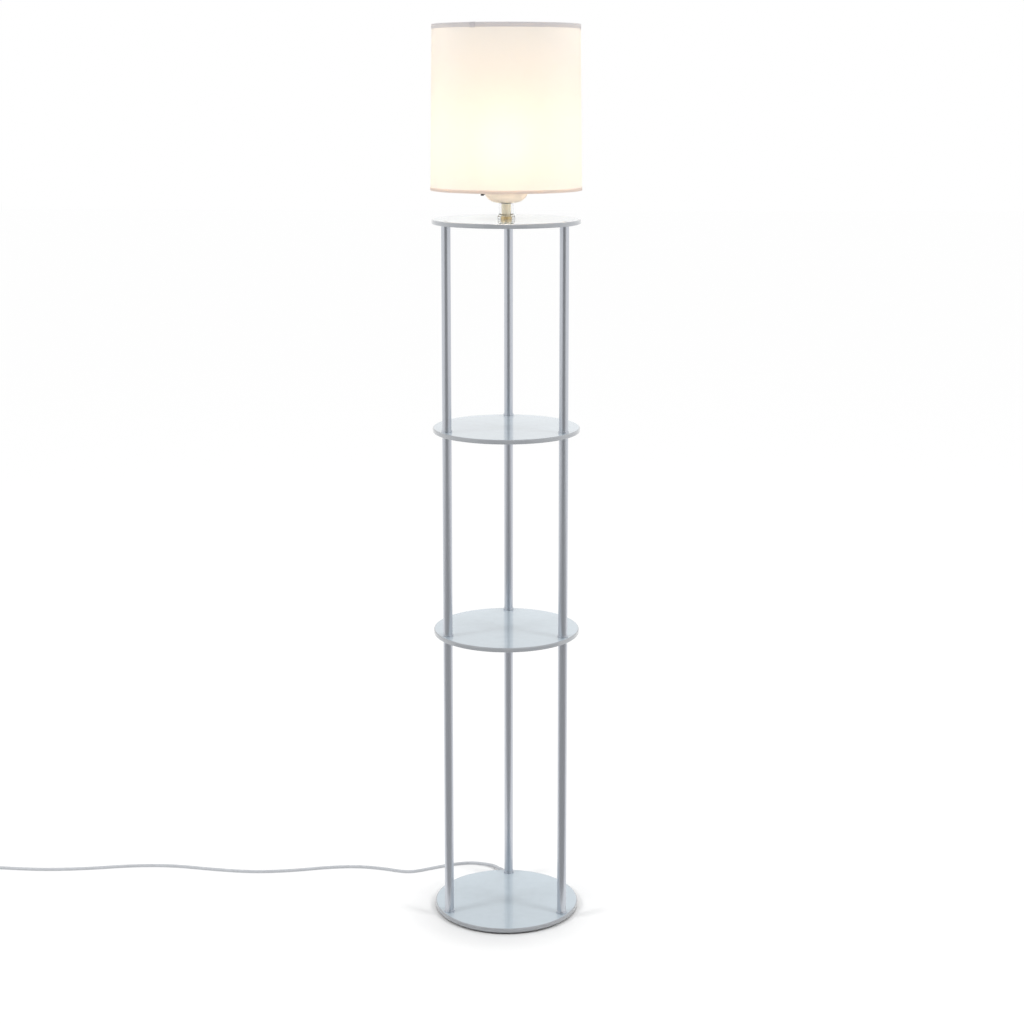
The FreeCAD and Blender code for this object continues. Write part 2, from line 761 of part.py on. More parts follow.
# ---------------------------------------------------------------- bulb
def bulb_profile(inset):
    """Edges from the neck of the glass up to its crown, moved in by the given amount."""
    radius = bulb_diameter / 2
    neck = bulb_neck_diameter / 2
    blend = bulb_neck_blend
    rise = math.sqrt((blend + radius) ** 2 - (neck + blend) ** 2)
    blend_centre = (neck + blend, bulb_sphere_z - rise)
    lean = math.degrees(math.atan2(rise, neck + blend))
    foot = bulb_cap_top - bulb_cap_shoulder
    return [
        line((neck - inset, foot), (neck - inset, blend_centre[1])),
        arc(blend_centre, blend + inset, 180, 180 - lean),
        arc((0, bulb_sphere_z), radius - inset, -lean, 90),
    ]


def make_bulb():
    """Frosted glass bulb with a screw cap, tip contact, glass stem, supports and filament."""
    wall = bulb_glass_wall
    neck = bulb_neck_diameter / 2
    foot = bulb_cap_top - bulb_cap_shoulder
    crown = bulb_sphere_z + bulb_diameter / 2
    outer = bulb_profile(0.0)
    inner = bulb_profile(wall)
    closing = [line((0, crown), (0, crown - wall)), line((neck - wall, foot), (neck, foot))]
    save("bulb_glass", [turned_edges(outer + [closing[0]] + inner[::-1] + [closing[1]])])

    tip_top = bulb_bottom + bulb_tip_height
    tip = rod(bulb_tip_diameter / 2, bulb_bottom, tip_top)
    low = [edge for edge in tip.Edges if edge.BoundBox.ZMax < bulb_bottom + bulb_tip_height / 2]
    save("bulb_tip", [tip.makeFillet(bulb_tip_height / 2, low)])

    cone_top = tip_top + bulb_insulator_height
    cone_radius = bulb_insulator_top_diameter / 2
    insulator = Part.makeCone(bulb_tip_diameter / 2, cone_radius, bulb_insulator_height, V(0, 0, tip_top))
    save("bulb_insulator", [insulator])

    outside = bulb_cap_diameter / 2
    inside = outside - bulb_cap_wall
    cap = turned([
        (cone_radius, cone_top),
        (outside, cone_top + bulb_cap_shoulder),
        (outside, bulb_cap_top),
        (inside, bulb_cap_top),
        (inside, cone_top + bulb_cap_shoulder + bulb_cap_wall),
        (0, cone_top + bulb_cap_wall),
        (0, cone_top),
    ])
    save("bulb_cap", [cap])

    stem_top = foot + bulb_stem_length
    stem = turned([
        (0, foot),
        (neck - wall, foot),
        (neck - wall, foot + bulb_cap_shoulder / 2),
        (bulb_stem_diameter / 2, foot + bulb_cap_shoulder * 2),
        (bulb_stem_diameter / 4, stem_top),
        (0, stem_top),
    ])
    save("bulb_stem", [stem])

    supports = []
    tips = []
    for sign in (-1, 1):
        start = V(sign * (bulb_stem_diameter / 4 - bulb_support_diameter), 0, stem_top)
        lean = V(sign * bulb_support_spread, 0, bulb_support_length)
        support = Part.makeCylinder(bulb_support_diameter / 2, lean.Length, start, lean)
        supports.append(support.cut(stem))
        tips.append(start + lean)
    save("bulb_supports", supports)
    path_points = [tips[0], tips[0] + V(0, filament_spread / 2, 0), tips[1] + V(0, filament_spread / 2, 0), tips[1]]
    bend = filament_diameter * 2
    path, _, _ = corner_path(path_points, lambda before, after, half: bend * math.tan(half))
    filament = tube_along(path, path_points[0], path_points[1] - path_points[0], filament_diameter / 2)
    for support in supports:
        filament = filament.cut(support)
    save("bulb_filament", [filament])


# ---------------------------------------------------------------- shade
def shade_radius(height):
    """Outside radius of the shade's fabric at a height, on its slight taper."""
    share = (height - shade_bottom) / shade_height
    return (shade_bottom_diameter - share * shade_taper) / 2


def shade_band(bottom, top, outside, inside):
    """Tapered band between two heights, its faces offset in from the fabric's outside."""
    return turned([
        (shade_radius(bottom) - outside, bottom),
        (shade_radius(top) - outside, top),
        (shade_radius(top) - inside, top),
        (shade_radius(bottom) - inside, bottom),
    ])


def wire_ring_radius(height):
    """Middle radius of a shade wire ring that lies against the liner."""
    return shade_radius(height) - shade_fabric_thickness - shade_liner_thickness - shade_wire_diameter / 2


def make_shade():
    """Drum shade: fabric on a liner, wire rings, folded trims, and a hub on three arms."""
    trim = shade_trim_thickness
    skin = shade_fabric_thickness
    lining = skin + shade_liner_thickness
    low = shade_bottom + trim
    high = shade_top - trim
    save("shade_fabric", [shade_band(low, high, 0, skin)])
    save("shade_liner", [shade_band(low, high, skin, lining)])

    wire = shade_wire_diameter / 2
    lower_ring_z = low + wire
    upper_ring_z = high - wire
    slope_gap = shade_wire_diameter * shade_taper / shade_height / 2
    lower_radius = wire_ring_radius(lower_ring_z) - slope_gap
    upper_radius = wire_ring_radius(upper_ring_z) - slope_gap
    lower_ring = Part.makeTorus(lower_radius, wire, V(0, 0, lower_ring_z))
    save("shade_lower_ring", [lower_ring])
    save("shade_upper_ring", [Part.makeTorus(upper_radius, wire, V(0, 0, upper_ring_z))])

    hub_radius = hub_diameter / 2
    collar_radius = cup_radius - cup_wall - hub_collar_gap
    hub = ring(hub_radius, hub_bore / 2, cup_rim, cup_rim + hub_thickness)
    collar = ring(collar_radius, collar_radius - hub_collar_wall, cup_rim - hub_collar_height, cup_rim)
    hub = hub.fuse(collar).removeSplitter()
    save("shade_hub", [hub])

    hub_level = cup_rim + hub_thickness / 2
    arms = []
    notches = []
    for index in range(arm_count):
        angle = math.radians(arm_first_angle + 360 * index / arm_count)
        way = V(math.cos(angle), math.sin(angle), 0)
        start = way * (hub_radius - hub_thickness) + V(0, 0, hub_level)
        run = way * lower_radius + V(0, 0, lower_ring_z) - start
        arm = Part.makeCylinder(arm_diameter / 2, run.Length, start, run)
        arms.append(arm.cut(hub).cut(lower_ring))
        notches.append(Part.makeCylinder(arm_diameter / 2 + arm_notch_gap, run.Length, start, run))
    save("shade_arms", arms)

    inner = lining + shade_wire_diameter + 2 * slope_gap
    lower_trim = shade_band(shade_bottom, shade_bottom + bottom_trim_height, -trim, 0)
    lower_trim = lower_trim.fuse(shade_band(shade_bottom, low, 0, inner + trim))
    lower_trim = lower_trim.fuse(shade_band(low, shade_bottom + trim_inner_height, inner, inner + trim))
    lower_trim = lower_trim.removeSplitter()
    for notch in notches:
        lower_trim = lower_trim.cut(notch)
    save("shade_bottom_trim", [lower_trim])
    upper_trim = shade_band(shade_top - top_trim_height, shade_top, -trim, 0)
    upper_trim = upper_trim.fuse(shade_band(high, shade_top, 0, inner + trim))
    upper_trim = upper_trim.fuse(shade_band(shade_top - trim_inner_height, high, inner, inner + trim))
    save("shade_top_trim", [upper_trim.removeSplitter()])


# ---------------------------------------------------------------- cord
def rim_distance():
    """How far the exit line runs from the rear pole to the rim of the base."""
    along = pole_place(pole_angles[0]).dot(exit_direction)
    beyond = pole_circle_radius ** 2 - disc_radius ** 2
    return -along + math.sqrt(along ** 2 - beyond)


def gland_start():
    """Middle of the gland's inner face, inside the base."""
    back = rim_distance() - gland_inner_clear - gland_flange_thickness
    start = pole_place(pole_angles[0]) + exit_direction * back
    return V(start.x, start.y, wire_floor_height)


def gland_tip():
    """Middle of the gland's outer end, where the cord comes out."""
    tip = pole_place(pole_angles[0]) + exit_direction * (rim_distance() + gland_outside)
    return V(tip.x, tip.y, wire_floor_height)


def along_exit(profile):
    """Solid turned about the exit line from (radius, distance from the gland's inner face) points."""
    shape = turned(profile)
    turn = FreeCAD.Rotation(UP, exit_direction)
    shape.Placement = FreeCAD.Placement(gland_start(), turn)
    return shape


def gland_shape(radius):
    """Plain round bar along the whole gland, used to cut its notch."""
    length = gland_start().distanceToPoint(gland_tip())
    return along_exit([(0, 0), (radius, 0), (radius, length), (0, length)])


def make_gland():
    """Rubber strain relief: flange inside the rim, neck in the notch, ribbed taper outside."""
    length = gland_start().distanceToPoint(gland_tip())
    neck = gland_neck_diameter / 2
    boot_start = length - gland_outside + gland_outer_clear
    root = gland_root_diameter / 2
    tip = gland_tip_diameter / 2
    profile = [
        (0, 0),
        (gland_flange_diameter / 2, 0),
        (gland_flange_diameter / 2, gland_flange_thickness),
        (neck, gland_flange_thickness),
        (neck, boot_start),
        (root, boot_start),
    ]
    step = (length - boot_start) / (2 * gland_rib_count + 1)
    for index in range(1, 2 * gland_rib_count + 1):
        share = index / (2 * gland_rib_count + 1)
        radius = root + share * (tip - root)
        depth = 0.0 if index % 2 else gland_rib_depth
        other = gland_rib_depth - depth
        place = boot_start + index * step
        profile.append((radius - depth, place))
        profile.append((radius - other, place))
    profile += [(tip, length), (0, length)]
    save("cord_gland", [along_exit(profile)])


def make_cord_run():
    """The loose length of cord along the floor."""
    way = coil_direction(0)
    end = coil_point(0) - way * cord_diameter
    points = [gland_tip(), gland_tip() + exit_direction * cord_first_run]
    points += [V(*point) for point in cord_route]
    points += [end - way * cord_last_run, end]
    path, length, least = corner_path(points, lambda before, after, half: cord_bend_share * min(before, after))
    run = tube_along(path, points[0], points[1] - points[0], cord_radius)
    ratio = run.Volume / (math.pi * cord_radius ** 2 * length)
    print("cord run: length", round(length, 1), "least radius", round(least, 1), "volume ratio", round(ratio, 4))
    save("cord_run", [run])
    return length


def coil_point(turns):
    """Middle of the cord after a number of turns: in along the floor, a climb, then out on top."""
    out_from = coil_turns_in + coil_turns_climb
    inward = min(turns, coil_turns_in)
    outward = max(turns - out_from, 0)
    climbed = min(max(turns - coil_turns_in, 0) / coil_turns_climb, 1)
    radius = coil_outer_radius - coil_pitch * inward + coil_pitch * outward
    radius -= coil_climb_inset * math.sin(math.pi * climbed)
    height = coil_height + coil_pitch * (1 - math.cos(math.pi * climbed)) / 2
    angle = math.radians(coil_start_angle) + 2 * math.pi * turns
    centre = V(coil_entry[0], coil_entry[1] - coil_outer_radius, 0)
    return centre + V(radius * math.cos(angle), radius * math.sin(angle), height)


def coil_direction(turns):
    """Unit direction of the cord after a number of turns."""
    step = 0.001
    total = coil_turns_in + coil_turns_climb + coil_turns_out
    first = max(turns - step, 0)
    last = min(turns + step, total)
    way = coil_point(last) - coil_point(first)
    return way.normalize()


def arc_from(start, way, end):
    """Arc that leaves start along a direction and reaches end."""
    chord = end - start
    half = way.getAngle(chord)
    unit = V(chord).normalize()
    bulge = way - unit * way.dot(unit)
    bulge.normalize()
    middle = start + chord / 2 + bulge * (chord.Length / 2 * math.tan(half / 2))
    return Part.Arc(start, middle, end).toShape()


def biarc(start, start_way, end, end_way):
    """Two tangent arcs from one point and direction to another."""
    gap = end - start
    total = start_way + end_way
    bend = 2 * (1 - start_way.dot(end_way))
    reach = (-gap.dot(total) + math.sqrt(gap.dot(total) ** 2 + bend * gap.dot(gap))) / bend
    joint = (start + start_way * reach + end - end_way * reach) / 2
    return [arc_from(start, start_way, joint), arc_from(end, end_way * -1, joint)]


def least_gap(points, skip, diameter):
    """Least clear distance between stretches of a tube that are not next to each other."""
    least = float("inf")
    for index, point in enumerate(points):
        for other in points[index + skip:]:
            least = min(least, point.distanceToPoint(other))
    return least - diameter


def make_coil():
    """The put-away length: one unbroken cord wound in and out again in two layers."""
    quarters = int(round(4 * (coil_turns_in + coil_turns_climb + coil_turns_out)))
    stations = [quarter / 4 for quarter in range(quarters + 1)]
    first_way = coil_direction(stations[0])
    last_way = coil_direction(stations[-1])
    start = coil_point(stations[0])
    end = coil_point(stations[-1])
    edges = [Part.LineSegment(start - first_way * cord_diameter, start).toShape()]
    for first, last in zip(stations[:-1], stations[1:]):
        edges += biarc(coil_point(first), coil_direction(first), coil_point(last), coil_direction(last))
    edges.append(Part.LineSegment(end, end + last_way * cord_diameter).toShape())
    path = Part.Wire(Part.__sortEdges__(edges))
    length = path.Length
    coil = tube_along(path, start - first_way * cord_diameter, first_way, cord_radius)
    points = path.discretize(Distance=coil_sample_step)
    half_turn = int(math.pi * coil_outer_radius / coil_sample_step)
    gap = least_gap(points, half_turn, cord_diameter)
    ratio = coil.Volume / (math.pi * cord_radius ** 2 * length)
    print("coil: length", round(length, 1), "least gap", round(gap, 2), "volume ratio", round(ratio, 4))
    save("cord_coil", [coil])
    return length, end + last_way * cord_diameter, last_way


def make_tie():
    """Soft strap closed round the turns of the coil."""
    inner_turns = coil_outer_radius - coil_pitch * coil_turns_in
    outer_turns = inner_turns + coil_pitch * coil_turns_out
    near = inner_turns - cord_radius - tie_gap
    far = outer_turns + cord_radius + tie_gap
    low = floor_gap + tie_thickness
    high = coil_height + coil_pitch + cord_radius + tie_gap
    hole = Part.makeBox(far - near, tie_width, high - low, V(near, -tie_width / 2, low))
    wall = 2 * tie_thickness
    band_place = V(near - tie_thickness, -tie_width / 2, floor_gap)
    band = Part.makeBox(far - near + wall, tie_width, high - low + wall, band_place)
    long_edges = [edge for edge in band.Edges if edge.BoundBox.YLength > tie_width / 2]
    band = band.makeFillet(tie_thickness, long_edges).cut(hole)
    band.rotate(V(0, 0, 0), UP, tie_angle)
    band.translate(V(coil_entry[0], coil_entry[1] - coil_outer_radius, 0))
    save("coil_tie", [band])


def rounded_rectangle(width, height, corner, distance):
    """Closed outline with round corners, square to the plug's axis at a distance along it."""
    def at(x, z, degrees):
        angle = math.radians(degrees)
        return V(x + corner * math.cos(angle), distance, z + corner * math.sin(angle))
    side = width / 2 - corner
    top = height / 2 - corner
    corners = [(side, top, 0), (-side, top, 90), (-side, -top, 180), (side, -top, 270)]
    edges = []
    for index, (x, z, first) in enumerate(corners):
        next_x, next_z, next_first = corners[(index + 1) % 4]
        edges.append(Part.Arc(at(x, z, first), at(x, z, first + 45), at(x, z, first + 90)).toShape())
        edges.append(Part.makeLine(at(x, z, first + 90), at(next_x, next_z, next_first)))
    return Part.Wire(edges)


def make_plug(place, way):
    """Flat two-blade plug with a slim moulded tail, lying on the floor beside the coil."""
    height = 2 * (place.z - floor_gap)
    tail_end = plug_tail_end_diameter
    tail = plug_tail_diameter
    sections = [
        rounded_rectangle(tail_end, tail_end, tail_end / 2 - plug_tail_flat, 0.0),
        rounded_rectangle(tail, tail, plug_round, plug_tail_length),
        rounded_rectangle(plug_width, height, plug_round, plug_tail_length + plug_shoulder),
        rounded_rectangle(plug_width, height, plug_round, plug_length),
    ]
    body = Part.makeLoft(sections, True, True)
    blades = []
    for sign in (-1, 1):
        root = V(sign * blade_spacing / 2 - blade_thickness / 2, plug_length - blade_root, -blade_height / 2)
        blade = Part.makeBox(blade_thickness, blade_root + blade_reach, blade_height, root)
        hole_place = V(root.x, plug_length + blade_reach - blade_height / 2 - blade_thickness / 2, 0)
        hole = Part.makeCylinder(blade_hole_diameter / 2, blade_thickness, hole_place, V(1, 0, 0))
        body = body.cut(blade)
        blades.append(blade.cut(hole))
    turn = FreeCAD.Rotation(V(0, 1, 0), V(way.x, way.y, 0))
    placement = FreeCAD.Placement(place, turn)
    for shape in [body] + blades:
        shape.Placement = placement.multiply(shape.Placement)
    save("plug_body", [body])
    save("plug_blades", blades)


def make_cord():
    """Gland, loose run, coil with its tie, and plug."""
    make_gland()
    run_length = make_cord_run()
    coil_length, tail, way = make_coil()
    make_tie()
    make_plug(tail, way)
    print("whole cord length", round(run_length + coil_length, 1))


os.makedirs("parts", exist_ok=True)
make_base()
make_poles()
base_nuts = make_joining()
make_shelves()
make_top_screws()
make_wire_cover()
make_wires()
neck_nut = make_neck()
save("locknuts", base_nuts + [neck_nut])
make_cup()
make_holder()
make_switch()
make_bulb()
make_shade()
make_cord()
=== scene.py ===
# %% [markdown]
# # A shelf floor lamp
# This lesson dresses a tall floor lamp: a round base, three round shelves on three tube poles, a
# short clear neck, a frosted cup and a lit drum shade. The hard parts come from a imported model. They
# stay where they are and only get their finishes here. The soft and thin pieces, such as the
# shade's fabric and the cord, are modelled here. All lengths are in metres.

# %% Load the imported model
import bpy
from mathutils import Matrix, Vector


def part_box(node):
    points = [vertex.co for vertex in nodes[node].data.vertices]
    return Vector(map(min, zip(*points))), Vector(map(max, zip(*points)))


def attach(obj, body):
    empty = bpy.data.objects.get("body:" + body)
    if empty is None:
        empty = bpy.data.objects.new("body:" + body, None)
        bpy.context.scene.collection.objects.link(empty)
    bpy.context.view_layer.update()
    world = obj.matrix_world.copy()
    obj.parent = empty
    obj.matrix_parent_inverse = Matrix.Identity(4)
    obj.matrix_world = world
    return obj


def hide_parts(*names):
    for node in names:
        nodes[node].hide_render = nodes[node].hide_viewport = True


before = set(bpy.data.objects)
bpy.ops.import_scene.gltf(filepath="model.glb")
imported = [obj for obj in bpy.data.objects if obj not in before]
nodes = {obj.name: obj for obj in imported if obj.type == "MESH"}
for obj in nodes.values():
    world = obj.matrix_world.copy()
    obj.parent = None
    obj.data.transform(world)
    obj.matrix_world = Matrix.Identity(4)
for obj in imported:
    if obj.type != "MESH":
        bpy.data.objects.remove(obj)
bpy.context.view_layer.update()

import bpy
import math
from mathutils import Vector

# %% [markdown]
# ## The camera
# The lamp is tall and slim, so the camera stands well back with a long lens, at the height of the
# shade and a little to the right. A camera that is tilted far enough down to take in the base would
# make the upright poles lean. Here the lens is also shifted downwards, so that less tilt is needed
# and the poles stay nearly upright. The lens and its sensor are in millimetres, and the two angles
# are in radians.

# %% Camera
CAMERA_PLACE = (0.1139, -3.2980, 1.4835)
LENS_LENGTH, SENSOR_WIDTH, LENS_SHIFT = 66.74, 36.0, -0.115
LOOK_DOWN, TURN_LEFT = 0.1603, 0.0315
camera_data = bpy.data.cameras.new("camera")
camera_data.lens = LENS_LENGTH
camera_data.sensor_width = SENSOR_WIDTH
camera_data.shift_y = LENS_SHIFT
camera = bpy.data.objects.new("camera", camera_data)
bpy.context.scene.collection.objects.link(camera)
camera.location = CAMERA_PLACE
camera.rotation_euler = (math.radians(90) - LOOK_DOWN, 0.0, TURN_LEFT)
bpy.context.scene.camera = camera
print("camera at", tuple(round(v, 3) for v in camera.location))

# %% [markdown]
# ## The cord's route
# The cord is a round grey cable. It leaves the base at the rear and lies on the floor in easy bends.
# A physics simulation could lay it down, but it would land a little differently each time. So a few
# points are listed along the floor, and a smooth curve runs past them. Where the cord lies
# on the floor, the third number of a point is just over the radius of the cord.

# %% Route of the cord
CORD_RADIUS = 0.003
route = [
    (-0.01751, 0.14502, 0.0050), (-0.02652, 0.15944, 0.0050), (-0.0485, 0.1728, 0.0033),
    (-0.0760, 0.1780, 0.0032), (-0.1080, 0.1695, 0.0032), (-0.1450, 0.1510, 0.0032),
    (-0.1810, 0.1308, 0.0032), (-0.2060, 0.1315, 0.0032), (-0.2380, 0.1430, 0.0032),
    (-0.2860, 0.1530, 0.0032), (-0.3450, 0.1480, 0.0032), (-0.4140, 0.1290, 0.0032),
    (-0.4900, 0.1200, 0.0032), (-0.5680, 0.1300, 0.0032), (-0.6480, 0.1460, 0.0032),
    (-0.7280, 0.1430, 0.0032), (-0.8050, 0.1270, 0.0032), (-0.8800, 0.1190, 0.0032),
    (-0.9450, 0.1216, 0.0032), (-0.99003, 0.12454, 0.0042), (-1.0280, 0.12321, 0.0042),
]
print("route points:", len(route))

# %% [markdown]
# ## The coil
# The spare length is wound into a small flat coil: inwards on the floor, half a turn up, and
# outwards again on top. Points placed by hand would make uneven turns, so a formula gives the middle
# of the cord after any number of turns. While it climbs, the cord also swings in a little, to stay
# clear of the turns beside it.

# %% Turns of the coil
COIL_CENTRE = Vector((-1.034, 0.090, 0.0))
COIL_RADIUS, COIL_HEIGHT, COIL_START = 0.033, 0.0042, math.radians(90)
TURN_GAP, CLIMB_INSET = 0.0006, 0.0016
COIL_PITCH = 2 * CORD_RADIUS + TURN_GAP
TURNS_IN, TURNS_CLIMB, TURNS_OUT = 2.25, 0.5, 2.25


def coil_point(turns):
    """Middle of the cord after a number of turns."""
    climbed = min(max(turns - TURNS_IN, 0) / TURNS_CLIMB, 1)
    outward = max(turns - TURNS_IN - TURNS_CLIMB, 0)
    radius = COIL_RADIUS - COIL_PITCH * min(turns, TURNS_IN) + COIL_PITCH * outward
    radius -= CLIMB_INSET * math.sin(math.pi * climbed)
    height = COIL_HEIGHT + COIL_PITCH * (1 - math.cos(math.pi * climbed)) / 2
    angle = COIL_START + 2 * math.pi * turns
    return COIL_CENTRE + Vector((radius * math.cos(angle), radius * math.sin(angle), height))


total_turns = TURNS_IN + TURNS_CLIMB + TURNS_OUT
print("coil of", total_turns, "turns, pitch", round(COIL_PITCH, 4))

# %% [markdown]
# A smooth curve runs inside its points and would wind the coil too tight. So each point of the coil
# is moved outwards by a few percent. After the last turn, a short tail runs straight on to the plug.

# %% Points of the coil
POINTS_PER_TURN = 16
SMALL_TURN = 0.001
TAIL_LENGTHS = (0.001, 0.012)
widening = 2 / (1 + math.cos(2 * math.pi / POINTS_PER_TURN)) - 1
coil = []
for step in range(1, int(total_turns * POINTS_PER_TURN)):
    point = coil_point(step / POINTS_PER_TURN)
    outwards = Vector((point.x - COIL_CENTRE.x, point.y - COIL_CENTRE.y, 0))
    coil.append(point + outwards * widening)
coil_end = coil_point(total_turns)
tail_way = (coil_end - coil_point(total_turns - SMALL_TURN)).normalized()
tail = [coil_end + tail_way * length for length in TAIL_LENGTHS]
print("coil points:", len(coil))

# %% [markdown]
# ## The cord as one curve
# A cable could be a mesh tube, but a curve with a round bevel needs only its middle line and stays
# smooth at any distance. The spline's order and its ends are set after its points are added, because
# set earlier they leave straight runs between the points.

# %% Cord curve
cord_points = [Vector(p) for p in route] + [coil_point(0)] + coil + tail
curve = bpy.data.curves.new("cord", "CURVE")
curve.dimensions = "3D"
spline = curve.splines.new("NURBS")
spline.points.add(len(cord_points) - 1)
for target, point in zip(spline.points, cord_points):
    target.co = (*point, 1.0)
spline.order_u = 3
spline.use_endpoint_u = True
spline.resolution_u = 6
curve.bevel_depth = CORD_RADIUS
curve.bevel_resolution = 4
cord = bpy.data.objects.new("cord", curve)
bpy.context.scene.collection.objects.link(cord)
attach(cord, "stand")
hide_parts("cord_run", "cord_coil")
print("cord curve with", len(cord_points), "points")

# %% [markdown]
# ## Turned pieces
# Most thin pieces of the lamp are round about its middle line. They could be drawn as outlines and
# spun, but starting from one circle is simpler: its edge is extruded ring by ring, and each new ring
# is moved up and made wider or narrower. The spare points are merged and the faces made to point
# outwards at the end.


# %% A helper that turns a profile
MERGE_DISTANCE = 0.00001


def turned(name, profile, segments=128, closed=False):
    """Surface of revolution from (radius, height) points, made by extruding a circle."""
    bpy.ops.object.select_all(action="DESELECT")
    radius, height = profile[0]
    bpy.ops.mesh.primitive_circle_add(vertices=segments, radius=radius, location=(0, 0, height))
    piece = bpy.context.object
    piece.name = name
    piece.data.name = name
    bpy.ops.object.transform_apply(location=True)
    bpy.ops.object.mode_set(mode="EDIT")
    bpy.ops.mesh.select_all(action="SELECT")
    steps = profile[1:] + profile[:1] if closed else profile[1:]
    for next_radius, next_height in steps:
        rise = (0, 0, next_height - height)
        bpy.ops.mesh.extrude_edges_move(TRANSFORM_OT_translate={"value": rise})
        ratio = next_radius / radius
        bpy.ops.transform.resize(value=(ratio, ratio, 1), center_override=(0, 0, next_height))
        radius, height = next_radius, next_height
    bpy.ops.mesh.select_all(action="SELECT")
    bpy.ops.mesh.remove_doubles(threshold=MERGE_DISTANCE)
    bpy.ops.mesh.normals_make_consistent(inside=False)
    bpy.ops.object.mode_set(mode="OBJECT")
    bpy.ops.object.shade_smooth()
    print(name, "has", len(piece.data.polygons), "faces")
    return piece


# %% [markdown]
# ## The shade
# The shade is a slightly tapered drum: pale fabric on the outside and a thin film as its lining. They
# could be walls with a thickness, but light would then cross four faces and get lost. So each is a
# single skin, and light passes through it once.

# %% Fabric
fabric_low, fabric_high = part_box("shade_fabric")
SHADE_BOTTOM, SHADE_TOP = fabric_low.z, fabric_high.z
BOTTOM_RADIUS, TOP_RADIUS = 0.1310, 0.1275
SHADE_BANDS = 12


def shade_radius(height):
    """Outside radius of the fabric at a height."""
    share = (height - SHADE_BOTTOM) / (SHADE_TOP - SHADE_BOTTOM)
    return BOTTOM_RADIUS + share * (TOP_RADIUS - BOTTOM_RADIUS)


band_height = (SHADE_TOP - SHADE_BOTTOM) / SHADE_BANDS
heights = [SHADE_BOTTOM + band_height * band for band in range(SHADE_BANDS + 1)]
fabric = turned("fabric", [(shade_radius(z), z) for z in heights])
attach(fabric, "shade")
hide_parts("shade_fabric")

# %% [markdown]
# The lining lies just inside the fabric and stiffens it. It is turned in the same way, and its faces
# are flipped to point at the bulb. The fabric's faces point outwards, so the two skins together act
# on light as one thin wall.

# %% Lining
LINING_INSET = 0.0012
lining = turned("lining", [(shade_radius(z) - LINING_INSET, z) for z in heights])
bpy.ops.object.mode_set(mode="EDIT")
bpy.ops.mesh.select_all(action="SELECT")
bpy.ops.mesh.flip_normals()
bpy.ops.object.mode_set(mode="OBJECT")
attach(lining, "shade")
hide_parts("shade_liner")

# %% [markdown]
# ## Tape on both edges
# Woven tape is folded over each edge of the drum and round the wire ring just inside it. A flat strip
# with a Solidify modifier would miss the fold. So the tape's section is drawn as a closed outline, up
# the outside, over the edge and down the inside, and turned. Heights in the section are measured
# from the edge into the shade, so one outline serves both edges. The tape reaches in over the ring
# by RING_REACH, and the three shoulders are shares of its thickness that round the fold.

# %% Tape
TAPE = 0.0005
TAPE_LIP, TAPE_CHAMFER = 0.0002, 0.0004
RING_REACH = 0.0052
RING_CORNER, RING_FILLET, EDGE_GAP = 0.0006, 0.0008, 0.0001
SHOULDER_OUT, SHOULDER_UP, SHOULDER_IN = 0.6, 0.7, 0.4
SHADE_MIDDLE = (SHADE_BOTTOM + SHADE_TOP) / 2


def folded_tape(name, edge, outside, inside):
    """Band folded over an edge of the shade: it covers outside and inside lengths of the wall."""
    into_shade = 1 if edge < SHADE_MIDDLE else -1
    wall = shade_radius(edge)
    flap = shade_radius(edge + into_shade * outside)
    inner = wall - RING_REACH
    section = [
        (flap + TAPE_LIP, outside), (flap + TAPE, outside - TAPE_CHAMFER),
        (wall + TAPE, 0), (wall + TAPE * SHOULDER_OUT, -TAPE * SHOULDER_UP),
        (wall - TAPE, -TAPE), (inner + RING_CORNER, -TAPE),
        (inner + EDGE_GAP, -TAPE * SHOULDER_IN), (inner, inside),
        (inner + TAPE, inside), (inner + RING_FILLET, EDGE_GAP),
        (wall, EDGE_GAP), (flap, outside),
    ]
    return turned(name, [(radius, edge + into_shade * up) for radius, up in section], closed=True)


upper_tape = folded_tape("upper_tape", SHADE_TOP, outside=0.0075, inside=0.0050)
lower_tape = folded_tape("lower_tape", SHADE_BOTTOM, outside=0.0050, inside=0.0010)

# %% [markdown]
# ## Overlap of the upper tape
# The upper tape is one length, and its end lies over its beginning at the left of the front. A bump
# texture could suggest the step, but it also shows in the outline. So a slightly thicker tape is
# turned, two bisects with filled cuts leave only a short piece of it, and that is joined to the tape.

# %% Overlap
OVERLAP_ANGLE, OVERLAP_LENGTH = math.radians(-114), 0.009
OVERLAP_LIFT = 0.0004
half_angle = OVERLAP_LENGTH / TOP_RADIUS / 2
tape_end = folded_tape("tape_end", SHADE_TOP, outside=0.0080, inside=0.0054)
bpy.ops.object.mode_set(mode="EDIT")
bpy.ops.mesh.select_all(action="SELECT")
bpy.ops.transform.shrink_fatten(value=OVERLAP_LIFT)
for angle, behind in ((OVERLAP_ANGLE - half_angle, True), (OVERLAP_ANGLE + half_angle, False)):
    bpy.ops.mesh.select_all(action="SELECT")
    across = (-math.sin(angle), math.cos(angle), 0)
    bpy.ops.mesh.bisect(plane_co=(0, 0, 0), plane_no=across, use_fill=True,
                        clear_inner=behind, clear_outer=not behind)
bpy.ops.object.mode_set(mode="OBJECT")
bpy.ops.object.select_all(action="DESELECT")
tape_end.select_set(True)
upper_tape.select_set(True)
bpy.context.view_layer.objects.active = upper_tape
bpy.ops.object.join()
print("upper tape with its overlap has", len(upper_tape.data.polygons), "faces")

# %% [markdown]
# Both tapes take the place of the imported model's plain ones and lift off with the shade. They are
# declared only now, because joining changed the upper one.

